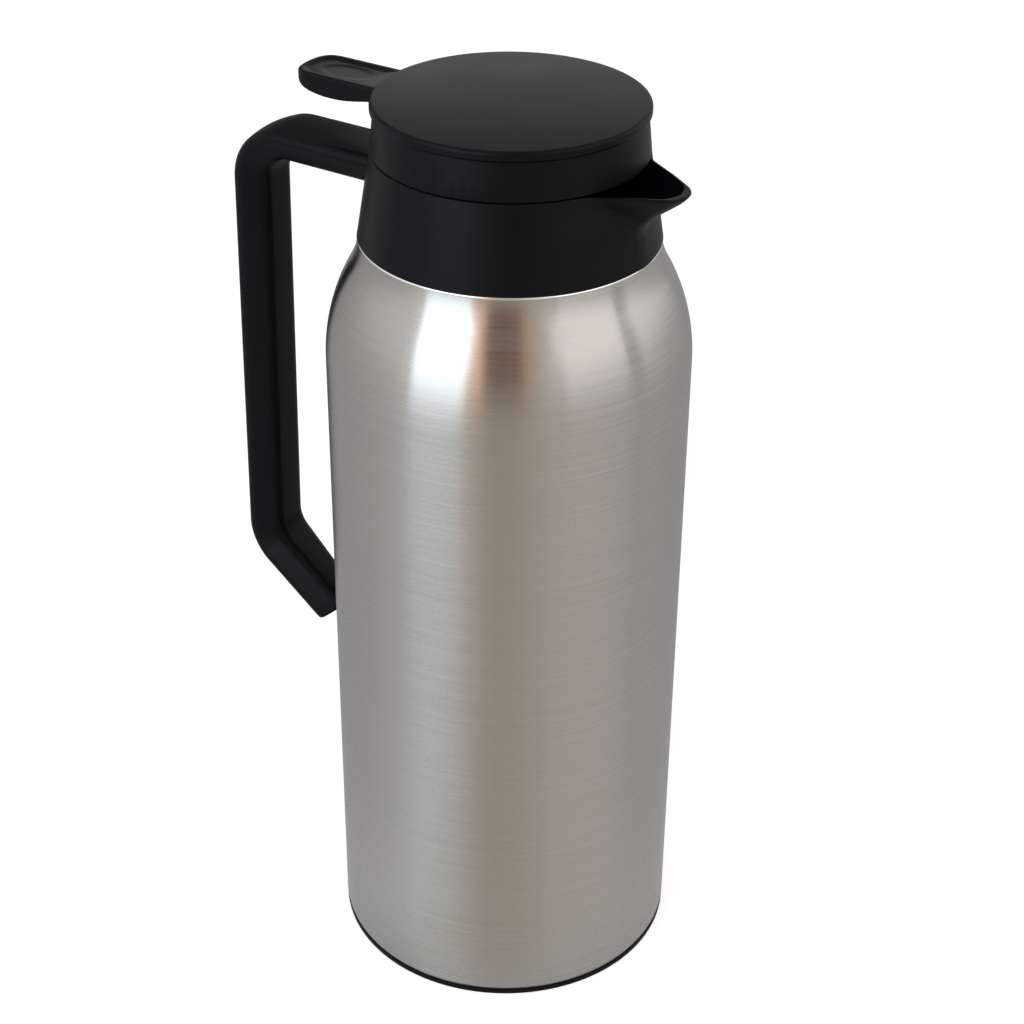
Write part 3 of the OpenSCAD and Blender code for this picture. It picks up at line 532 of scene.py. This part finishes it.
section = rounded([[HALF_OUT, 0], [HALF_IN, THICK], [-HALF_IN, THICK], [-HALF_OUT, 0]],
                  [OUT_ROUND, IN_ROUND, IN_ROUND, OUT_ROUND], 8)
face = np.linspace(-1, 1, 15)[1:-1]
section = np.concatenate([section, np.stack([face * section[0, 0], -CROWN * (1 - face ** 2)], 1)])
along = np.concatenate([[0], np.cumsum(np.linalg.norm(np.diff(path, axis=0), axis=1))])
taper = np.clip((along - along[-9]) / (along[-1] - along[-9]), 0, 1)[:, None]
across = section[None, :, 0] * (1 - FOOT_NARROWER * taper)
deep = section[None, :, 1] * (1 - FOOT_THINNER * taper)
grip = np.stack([path[:, :1] - ahead[:, 1:] * deep, across, path[:, 1:] + ahead[:, :1] * deep], -1)
# The last section slides along the leg onto the slanted cut, and the first onto the sleeve
slope = math.tan(CUT)
down_leg = np.array([ahead[-1, 0], 0, ahead[-1, 1]])
miss = grip[-1, :, 2] - foot_tip[1] - (grip[-1, :, 0] - foot_tip[0]) * slope
grip[-1] += (miss / (down_leg[0] * slope - down_leg[2]))[:, None] * down_leg
grip[0, :, 0] = -np.sqrt(sleeve(grip[0, :, 2]) ** 2 - grip[0, :, 1] ** 2) + 0.3
# Its rim is rounded: rings slide back along the leg and shrink towards the middle
middle = grip[-1].mean(0)
rim = [grip[-1] - FOOT_ROUND * (1 - math.sin(a)) * down_leg
       + (middle - grip[-1]) * FOOT_DRAW * (1 - math.cos(a)) for a in np.radians(np.linspace(0, 90, 6))]
grip = np.concatenate([grip[:-1], np.stack(rim)])
boss, boss_faces = bar(BOSS_R, 0, BOSS_LENGTH, 0.2, 0.6)
boss = np.stack([BOSS_X - boss[:, 2], boss[:, 1], SCREW_Z + boss[:, 0]], 1)
floor_z = foot_tip[1] + (boss[:, 0] - foot_tip[0]) * slope + 0.05
boss[:, 2] = np.where(boss[:, 0] < BOSS_CUT_X, np.maximum(boss[:, 2], floor_z), boss[:, 2])
handle = piece("handle_moulding", [capped(grip), (boss, boss_faces)], "flask", black,
               ["handle"], 42)
bored(handle, rod_x([[0, 0], [HEAD_BORE_R, 0], [HEAD_BORE_R, 40], [0, 40]], HEAD_SEAT_X, SCREW_Z))
handle.data.set_sharp_from_angle(angle=math.radians(42))

# Fasteners of the handle: a welded steel plate with a threaded boss on the flask, one pan
# head screw through the foot, and two screws from the collar's bore into the arm.
SHANK_R, SHANK_LENGTH, HEAD_R, SCREW_LENGTH, SCREW_END_X = 2, 14.4, 3.5, 16.6, -58.6


def carried(name, node, body, material, bevel, crease=32):
    """A copy of a solid, its loose triangles merged and flat ones joined, with soft edges."""
    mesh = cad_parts[node].data.copy()
    mesh.name = name
    build = bmesh.new()
    build.from_mesh(mesh)
    bmesh.ops.remove_doubles(build, verts=build.verts, dist=2e-6)
    bmesh.ops.dissolve_limit(build, angle_limit=math.radians(0.6), verts=build.verts, edges=build.edges)
    build.to_mesh(mesh)
    build.free()
    obj = settle(name, mesh, body, material, [node], crease)
    soft = obj.modifiers.new("soft_edges", "BEVEL")
    soft.width, soft.segments, soft.limit_method = bevel * 0.001, 2, "ANGLE"
    soft.angle_limit, soft.harden_normals = math.radians(crease), True
    soft.use_clamp_overlap = True


def bright(place):
    """Turned and plated steel: a fine grain and a low roughness."""
    grain = place.noise(2500, 3)
    return {"Base Color": grain.between((0.50, 0.50, 0.49), (0.60, 0.60, 0.59)), "Metallic": 1.0,
            "Roughness": grain * 0.1 + 0.2, "Normal": grain.raised(0.1, 0.00002)}


fastener = finish("plated_fastener_steel", bright)
carried("handle_plate", "handle_bracket", "flask", inner_steel, 0.2)
screw = rounded([[0, 0], [SHANK_R, 0], [SHANK_R, SHANK_LENGTH], [HEAD_R, SHANK_LENGTH],
                 [HEAD_R, SCREW_LENGTH], [0, SCREW_LENGTH]], [0, 0.3, 0.1, 0.1, 0.9, 0], 5, False)
piece("foot_screw", [rod_x(screw, SCREW_END_X, SCREW_Z)], "flask", fastener,
      ["handle_screw_lower"])
carried("arm_screws", "handle_screws_upper", "flask", fastener, 0.1)

# The stopper: a black ring that stands on the collar, its deck, and the plug with three
# windows and three lugs of a quick thread, moulded in one. Ears on the deck hold the hinge.
carried("stopper_moulding", "stopper_body", "stopper", black, 0.25, 28)

# The lower end of the plug is pressed on. It carries the seat of the valve, and the ring
# seal in the plug's groove closes the stopper against the neck of the flask.
RING_Z = COLLAR_Z + 0.3
PLUG_Z, PLUG_R, PLUG_LOW = RING_Z - 32, 33.6, 3.6
TUBE_R, TUBE_IN, TUBE_H = 31.58, 29.6, 4
SEAT_R, SEAT_IN, SEAT_H = 25.5, 22, 1.4
SEAL_IN, SEAL_R, SEAL_VALLEY, SEAL_H = 32.62, 34.44, 33.8, 4
SEAL_Z = LIP_Z - 9
dark_grey = finish("dark_inner_moulding", moulded((0.008, 0.008, 0.009), (0.013, 0.013, 0.014),
                                                  0.5, 0.25, 0.2))
piece("plug_end",
      [turned(rounded([[SEAT_IN, PLUG_Z - PLUG_LOW], [PLUG_R - 1, PLUG_Z - PLUG_LOW],
                       [PLUG_R, PLUG_Z - PLUG_LOW + 1], [PLUG_R, PLUG_Z], [TUBE_R, PLUG_Z],
                       [TUBE_R, PLUG_Z + TUBE_H], [TUBE_IN, PLUG_Z + TUBE_H], [TUBE_IN, PLUG_Z],
                       [SEAT_R, PLUG_Z], [SEAT_R - 1, PLUG_Z + SEAT_H], [SEAT_IN + 0.6, PLUG_Z + SEAT_H],
                       [SEAT_IN, PLUG_Z + SEAT_H - 0.6]],
                      [0.4, 0.4, 0.4, 0.1, 0, 0.3, 0.3, 0.3, 0.3, 0.3, 0.2, 0.2], 4), 192)],
      "stopper", dark_grey, ["stopper_base"])
half_seal = np.array([[SEAL_IN, 0.02], [PLUG_R, 0.02], [SEAL_R, 1], [SEAL_R, 1.6]])
upper_half = (half_seal * [1, -1] + [0, SEAL_H])[::-1]
seal_line = np.concatenate([half_seal, [[SEAL_VALLEY, SEAL_H / 2]], upper_half]) + [0, SEAL_Z]
piece("plug_seal", [turned(rounded(seal_line, 0.18, 4), 192)], "stopper_seal", silicone,
      ["stopper_gasket"])

# The valve: a white moulded stem with a cross head on top and a plate below, which holds
# the valve's silicone ring. The lid's fork lifts it, and a coil spring presses it down.
VALVE_Z, VALVE_IN, VALVE_R, VALVE_RING_H = PLUG_Z + 1.7, 15.02, 26, 2
COIL_R, WIRE_R, COIL_TURNS, TRAVEL = 7.6, 0.6, 6, 14.95
COIL_LOW, COIL_TOP = VALVE_Z + 4.5 + 0.65, RING_Z - 0.65
white = finish("white_inner_moulding", lambda place: {
    "Base Color": place.noise(80, 3).between((0.70, 0.70, 0.67), (0.78, 0.78, 0.75)),
    "Roughness": place.noise(900, 2) * 0.1 + 0.38,
    "Normal": place.noise(2200, 3).raised(0.15, 0.00003)})
carried("valve_stem_moulding", "valve_stem", "valve", white, 0.2)
piece("valve_seal",
      [turned(rounded([[VALVE_IN, VALVE_Z], [VALVE_R, VALVE_Z], [VALVE_R + 0.4, VALVE_Z + 0.6],
                       [VALVE_R + 0.4, VALVE_Z + VALVE_RING_H], [VALVE_IN, VALVE_Z + VALVE_RING_H]],
                      0.15, 4), 128)],
      "valve", silicone, ["valve_gasket"])
# The coil: a circle carried along a helix, (thread cos t, thread sin t), rising evenly
t = np.linspace(0, 2 * math.pi * COIL_TURNS, COIL_TURNS * 48 + 1)[:, None]
k = np.linspace(0, 2 * math.pi, 12, endpoint=False)[None]
thread = COIL_R + WIRE_R * np.cos(k)
rise = (COIL_TOP - COIL_LOW) * t / (2 * math.pi * COIL_TURNS)
coil = np.stack([thread * np.cos(t), thread * np.sin(t), COIL_LOW + rise + WIRE_R * np.sin(k)], -1)
spring = piece("valve_coil", [capped(coil)], "stopper", fastener, ["valve_spring"], 50)
RING_Z * 0.001
1 - TRAVEL / (RING_Z - COIL_LOW + WIRE_R)
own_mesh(spring)

# The lid is one black moulding: a flat disc with a rounded edge, the thumb lever that
# comes out from under it with its oval dish, and the knuckle of the hinge below.
RING_TOP = RING_Z + 11.9
LID_Z, LID_TOP, LID_R = RING_TOP + 0.4, RING_TOP + 3.5, 42.3
LID_EDGE_LOW, LID_EDGE_TOP = 0.7, 1.15
HINGE_X, HINGE_Z = 37.0, RING_TOP - 3.4
LEVER_HALF, LEVER_TOP = 9.5, LID_Z + 0.1
LEVER_START, LEVER_MIDDLE, TIP_START, TIP_REACH = -38, -57, -66.4, 9.4
SPINE_ENDS = (-67, -50)
ROUND_LOW, ROUND_TOP, DRAFT = 1.1, 1.0, 0.9
HOLLOW, DISH, DISH_X, DISH_LONG, DISH_WIDE = 0.8, 0.3, -60, 9.6, 5.0
KNUCKLE_R, KNUCKLE_BORE, KNUCKLE_HALF = 3, 1.56, 9.2
under = np.polyfit([-38, -46.5, -55.5, -61, -67, -73, -76.2],
                   [297.8, 297.0, 295.4, 295.0, 295.8, 297.6, 299.3], 4)


def lever_row(inset, share):
    """A ring of the lever: the outline set in, then drawn towards the spine by a share."""
    return spine + (outline - outward * inset - spine) * share


def rod_y(profile, steps=64):
    """A profile of (radius, place) turned about the hinge's line, which runs along Y."""
    p, f = turned(profile, steps)
    return np.stack([p[:, 0] - HINGE_X, p[:, 2], HINGE_Z + p[:, 1]], 1), f


disc = bar(LID_R, LID_Z, LID_TOP, LID_EDGE_LOW, LID_EDGE_TOP, 9, 288)
# The outline: two straight sides and a blunt tip, whose powers of cos and sin square it off
bow = np.radians(np.linspace(-90, 90, 65))
tip = np.stack([TIP_START - TIP_REACH * np.cos(bow) ** 0.58,
                LEVER_HALF * np.sign(np.sin(bow)) * np.abs(np.sin(bow)) ** 0.8], 1)
side_x = np.linspace(LEVER_START, TIP_START, 20, endpoint=False)
back_y = np.linspace(LEVER_HALF, -LEVER_HALF, 11)[1:-1]
outline = np.concatenate([np.stack([side_x, -LEVER_HALF + 0 * side_x], 1), tip,
                          np.stack([side_x[::-1], LEVER_HALF + 0 * side_x], 1),
                          np.stack([LEVER_START + 0 * back_y, back_y], 1)])
step = np.roll(outline, -1, 0) - np.roll(outline, 1, 0)
outward = np.stack([step[:, 1], -step[:, 0]], 1) / np.linalg.norm(step, axis=1)[:, None]
outward *= np.sign(np.sum(outward * (outline - [LEVER_MIDDLE, 0]), 1))[:, None]
spine = np.stack([np.clip(outline[:, 0], *SPINE_ENDS), 0 * outline[:, 1]], 1)
draft = DRAFT * fades(outline[:, :1], -74, -60)
rings, heights = [], []
for part in (0, 0.3, 0.6, 0.85):
    rings.append(lever_row(draft + ROUND_LOW, part))
    heights.append(np.polyval(under, rings[-1][:, 0]))
for a in np.radians(np.linspace(-90, 0, 7)):
    rings.append(lever_row(draft + ROUND_LOW - ROUND_LOW * math.cos(a), 1))
    heights.append(np.polyval(under, rings[-1][:, 0]) + ROUND_LOW * (1 + math.sin(a)))
for a in np.radians(np.linspace(0, 90, 7)):
    rings.append(lever_row(ROUND_TOP - ROUND_TOP * math.cos(a), 1))
    heights.append(LEVER_TOP - ROUND_TOP + ROUND_TOP * math.sin(a) + 0 * outline[:, 0])
for part in np.linspace(0.97, 0, 41):
    x, y = lever_row(ROUND_TOP, part).T
    oval = np.sqrt(((x - DISH_X) / DISH_LONG) ** 2 + (y / DISH_WIDE) ** 2)
    rings.append(np.stack([x, y], 1))
    heights.append(LEVER_TOP - HOLLOW * fades(part, 0.96, 0.7) * fades(x, -44.5, -51)
                   - DISH * fades(oval, 1.08, 0.78))
lever = np.concatenate([np.stack(rings), np.stack(heights)[:, :, None]], -1)
knuckle = rod_y(rounded([[KNUCKLE_BORE, -KNUCKLE_HALF], [KNUCKLE_R, -KNUCKLE_HALF],
                         [KNUCKLE_R, KNUCKLE_HALF], [KNUCKLE_BORE, KNUCKLE_HALF]], 0.25, 3))
web_x = np.array([-3, -3, 3, 3]) - HINGE_X
web_z = np.array([HINGE_Z + 1.7, LID_Z + 0.5, LID_Z + 0.5, HINGE_Z + 1.7])
web = capped(np.stack([np.stack([web_x, 0 * web_x + y, web_z], 1) for y in (-KNUCKLE_HALF, KNUCKLE_HALF)]))
piece("lid_moulding", [disc, (lever.reshape(-1, 3), quads(len(lever), len(outline))), knuckle, web],
      "lid", black, ["lid_flap"], 40)

# Under the lid a dark plate with the fork for the valve stem is held by four small screws,
# and a steel pin through the ears of the stopper carries the lid.
PIN_R, PIN_HALF = 1.5, (18.4 + 1.2 + 7.6) / 2
carried("fork_plate", "flap_cover", "lid", dark_grey, 0.2)
carried("plate_screws", "cover_screws", "lid", fastener, 0.1)
pin, pin_faces = bar(PIN_R, -PIN_HALF, PIN_HALF, 0.3, 0.3, around=48)
piece("lid_pin", [(np.stack([pin[:, 0] - HINGE_X, pin[:, 2], pin[:, 1] + HINGE_Z], 1), pin_faces)],
      "stopper", fastener, ["hinge_pin"])

# The stage: a pale floor, white all round, a large soft window at the camera's left, a
# weaker one at its right, and cards that only reflections see, as in a furnished room.
LOOK_AT = Vector((0, 0, 0.17))
CAMERA_SIDE = -57.5


def toward(azimuth, elevation, distance):
    """A place at this bearing from the carafe, counted from the camera's side, for
    something whose -Z points back at the carafe, with Y up."""
    a, e = math.radians(CAMERA_SIDE + azimuth), math.radians(elevation)
    away = distance * Vector((math.cos(e) * math.cos(a), math.cos(e) * math.sin(a), math.sin(e)))
    return Matrix.Translation(LOOK_AT + away) @ (-away).to_track_quat("-Z", "Y").to_matrix().to_4x4()


def lamp(name, bearing, size, brightness, colour):
    """A soft window of this brightness: its power is brightness times pi times its area."""
    data = bpy.data.lights.new(name, "AREA")
    data.shape, data.size, data.size_y = "RECTANGLE", *size
    data.energy, data.color = brightness * math.pi * size[0] * size[1], colour
    obj = bpy.data.objects.new(name, data)
    bpy.context.scene.collection.objects.link(obj)
    obj.matrix_world = toward(*bearing)
    obj.visible_camera = False


def glowing(name, points, faces, across, colours):
    """A surface that only reflections see, coloured by a number from 0 to 1 at each point."""
    mesh = bpy.data.meshes.new(name)
    mesh.from_pydata([tuple(p) for p in points], [], faces)
    corner = np.empty(len(mesh.loops), dtype=np.int32)
    mesh.loops.foreach_get("vertex_index", corner)
    layer = mesh.uv_layers.new(name="across")
    layer.data.foreach_set("uv", np.stack([np.asarray(across, float)[corner], 0.5 + 0 * corner], 1).ravel())
    obj = bpy.data.objects.new(name, mesh)
    bpy.context.scene.collection.objects.link(obj)
    material = bpy.data.materials.new(name)
    tree = emptied(material)
    place = tree.node("ShaderNodeSeparateXYZ", {}, {0: tree.node("ShaderNodeUVMap", {"uv_map": "across"})})
    shade = tree.node("ShaderNodeValToRGB", {"stops": [(p, (*c, 1)) for p, c in colours]}, {0: place})
    tree.node("ShaderNodeEmission", {}, {"Color": shade, "Strength": 1.0}).shown()
    mesh.materials.append(material)
    obj.visible_camera = obj.visible_diffuse = obj.visible_shadow = obj.visible_transmission = False


def card(name, bearing, size, colours):
    """A panel that faces the carafe, its colour running from lower to higher azimuth."""
    turn = toward(*bearing)
    corners = [(-1, -1), (1, -1), (1, 1), (-1, 1)]
    glowing(name, [turn @ Vector((x * size[0] / 2, y * size[1] / 2, 0)) for x, y in corners],
            [(0, 1, 2, 3)], [0, 1, 1, 0], colours)


# A bearing is azimuth, elevation and distance, and a size is width and height, in metres
lamp("window_left", (-43, 20, 1.3), (0.80, 1.15), 3.1, (0.76, 0.885, 1.0))
lamp("window_right", (55, 24, 1.5), (1.2, 1.1), 1.2, (1.0, 0.99, 0.97))
card("room_middle", (1, 22, 1.6), (1.774, 1.15),
     [(0, (1.4, 1.1, 0.95)), (0.15, (1.9, 1.15, 0.82)), (0.22, (1.6, 0.9, 0.6)),
      (0.27, (0.24, 0.08, 0.03)), (0.42, (0.17, 0.055, 0.02)), (0.50, (0.27, 0.09, 0.04)),
      (0.58, (0.20, 0.07, 0.03)), (0.62, (0.75, 0.42, 0.26)), (0.66, (0.82, 0.48, 0.30)),
      (0.70, (0.78, 0.66, 0.56)), (0.9, (1.15, 1.05, 0.98)), (1, (1.2, 1.15, 1.1))])
card("room_left", (-98, 24, 1.3), (1.96, 1.1),
     [(0, (0.52, 0.52, 0.51)), (0.5, (0.95, 0.95, 0.93)), (0.925, (1.2, 1.2, 1.2)),
      (0.945, (2.4, 2.35, 2.2)), (0.965, (1.0, 1.0, 1.0))])
card("room_right", (112, 24, 1.4), (1.3, 1.1), [(0, (1.60, 1.60, 1.58)), (1, (1.10, 1.10, 1.09))])
card("room_behind", (188, 24, 1.2), (1.7, 1.0), [(0, (0.28, 0.28, 0.28)), (1, (0.24, 0.24, 0.24))])
card("behind_lid", (172, 45.5, 0.235), (0.20, 0.06), [(0, (1.1, 1.1, 1.12)), (1, (1.4, 1.4, 1.43))])
card("behind_arm", (218, 48.7, 0.165), (0.06, 0.035), [(0, (0.16, 0.16, 0.16)), (1, (0.20, 0.20, 0.20))])

# What the steel sees of the floor is a ring just above it, coloured by the bearing: it is
# brighter where the window shines on it, and darker behind the carafe.
FLOOR_SEEN, FLOOR_STEPS, FLOOR_GAIN = (0.07, 2.0), 73, 0.86
FLOOR_COLOURS = [
    (-180, (0.46, 0.46, 0.45)), (-135, (0.55, 0.55, 0.54)), (-94, (0.70, 0.70, 0.70)),
    (-77, (0.80, 0.81, 0.81)), (-60, (0.90, 0.92, 0.94)), (-46, (0.93, 0.96, 0.98)),
    (-34, (0.84, 0.84, 0.80)), (-18, (0.75, 0.71, 0.64)), (-8, (0.72, 0.67, 0.60)),
    (6, (0.74, 0.70, 0.62)), (25, (0.80, 0.78, 0.73)), (55, (0.80, 0.78, 0.74)),
    (86, (0.69, 0.68, 0.66)), (111, (0.60, 0.60, 0.59)), (150, (0.46, 0.46, 0.45)),
    (180, (0.46, 0.46, 0.45))]
around = np.radians(np.linspace(-180, 180, FLOOR_STEPS) + CAMERA_SIDE)
seen_floor = [np.stack([r * np.cos(around), r * np.sin(around), 0.0004 + 0 * around], 1) for r in FLOOR_SEEN]
glowing("floor_in_reflections", np.concatenate(seen_floor), quads(2, FLOOR_STEPS, ring=False),
        np.tile(np.linspace(0, 1, FLOOR_STEPS), 2),
        [((a + 180) / 360, tuple(FLOOR_GAIN * v for v in c)) for a, c in FLOOR_COLOURS])

# The floor is a wide pale disc. It and the world are white where the camera sees them, and
# as lights they stay at a plain level, so that the floor keeps the carafe's shadow.
FLOOR_R = 16
FLOOR_LIFT, WORLD_LEVEL, GLOSS_SHARE = 0.69, 0.5, 0.32


def seen_directly(tree):
    """1 for rays from the camera or through glass, less for gloss, and 0 for diffuse light."""
    seen = tree.node("ShaderNodeLightPath", out="Is Camera Ray")
    gloss = tree.node("ShaderNodeLightPath", out="Is Glossy Ray")
    through = tree.node("ShaderNodeLightPath", out="Is Transmission Ray")
    return tree.maths("MINIMUM", seen + through + gloss * GLOSS_SHARE, 1.0)


floor_mesh = bpy.data.meshes.new("floor")
floor_edge = np.radians(np.arange(0, 360, 5))
floor_points = np.stack([FLOOR_R * np.cos(floor_edge), FLOOR_R * np.sin(floor_edge),
                         0 * floor_edge - 0.0002], 1)
floor_mesh.from_pydata(floor_points.tolist(), [], [tuple(range(len(floor_edge)))])
floor = bpy.data.objects.new("floor", floor_mesh)
bpy.context.scene.collection.objects.link(floor)
floor_finish = bpy.data.materials.new("pale_floor")
ground = emptied(floor_finish)
pale = ground.node("ShaderNodeBsdfDiffuse", {}, {"Color": (0.62, 0.61, 0.58, 1)})
lift = ground.node("ShaderNodeEmission", {},
                   {"Color": (1, 1, 1, 1), "Strength": seen_directly(ground) * FLOOR_LIFT})
ground.node("ShaderNodeAddShader", {}, {0: pale, 1: lift}).shown()
floor_mesh.materials.append(floor_finish)

world = bpy.data.worlds.new("studio")
bpy.context.scene.world = world
sky = emptied(world)
strength = seen_directly(sky) * (1 - WORLD_LEVEL) + WORLD_LEVEL
white_sky = sky.node("ShaderNodeBackground", {}, {"Color": (1, 1, 1, 1), "Strength": strength})
white_sky.shown("ShaderNodeOutputWorld")

# The camera stands where the photograph was taken from, a little above and in front. Its
# three axes and its place are those at which the circles of the carafe fit the picture.
SENSOR, PHOTO_PX, FOCAL_PX = 36.0, 1024, 2139.786
CAMERA_AT = (0.325518, -0.510961, 0.532574)
CAMERA_RIGHT = (0.842047, 0.539348, 0.007793)
CAMERA_DOWN = (0.287304, -0.436226, -0.852739)
CAMERA_AHEAD = (-0.456523, 0.720285, -0.52228)
lens = bpy.data.cameras.new("camera")
lens.sensor_width, lens.lens = SENSOR, SENSOR * FOCAL_PX / PHOTO_PX
lens.clip_start, lens.clip_end = 0.05, 20
camera = bpy.data.objects.new("camera", lens)
camera.matrix_world = Matrix([(r, -d, -a, p) for r, d, a, p in
                              zip(CAMERA_RIGHT, CAMERA_DOWN, CAMERA_AHEAD, CAMERA_AT)] + [(0, 0, 0, 1)])
bpy.context.scene.collection.objects.link(camera)
bpy.context.scene.camera = camera
bpy.context.scene.view_settings.view_transform = "Standard"

bpy.context.view_layer.update()
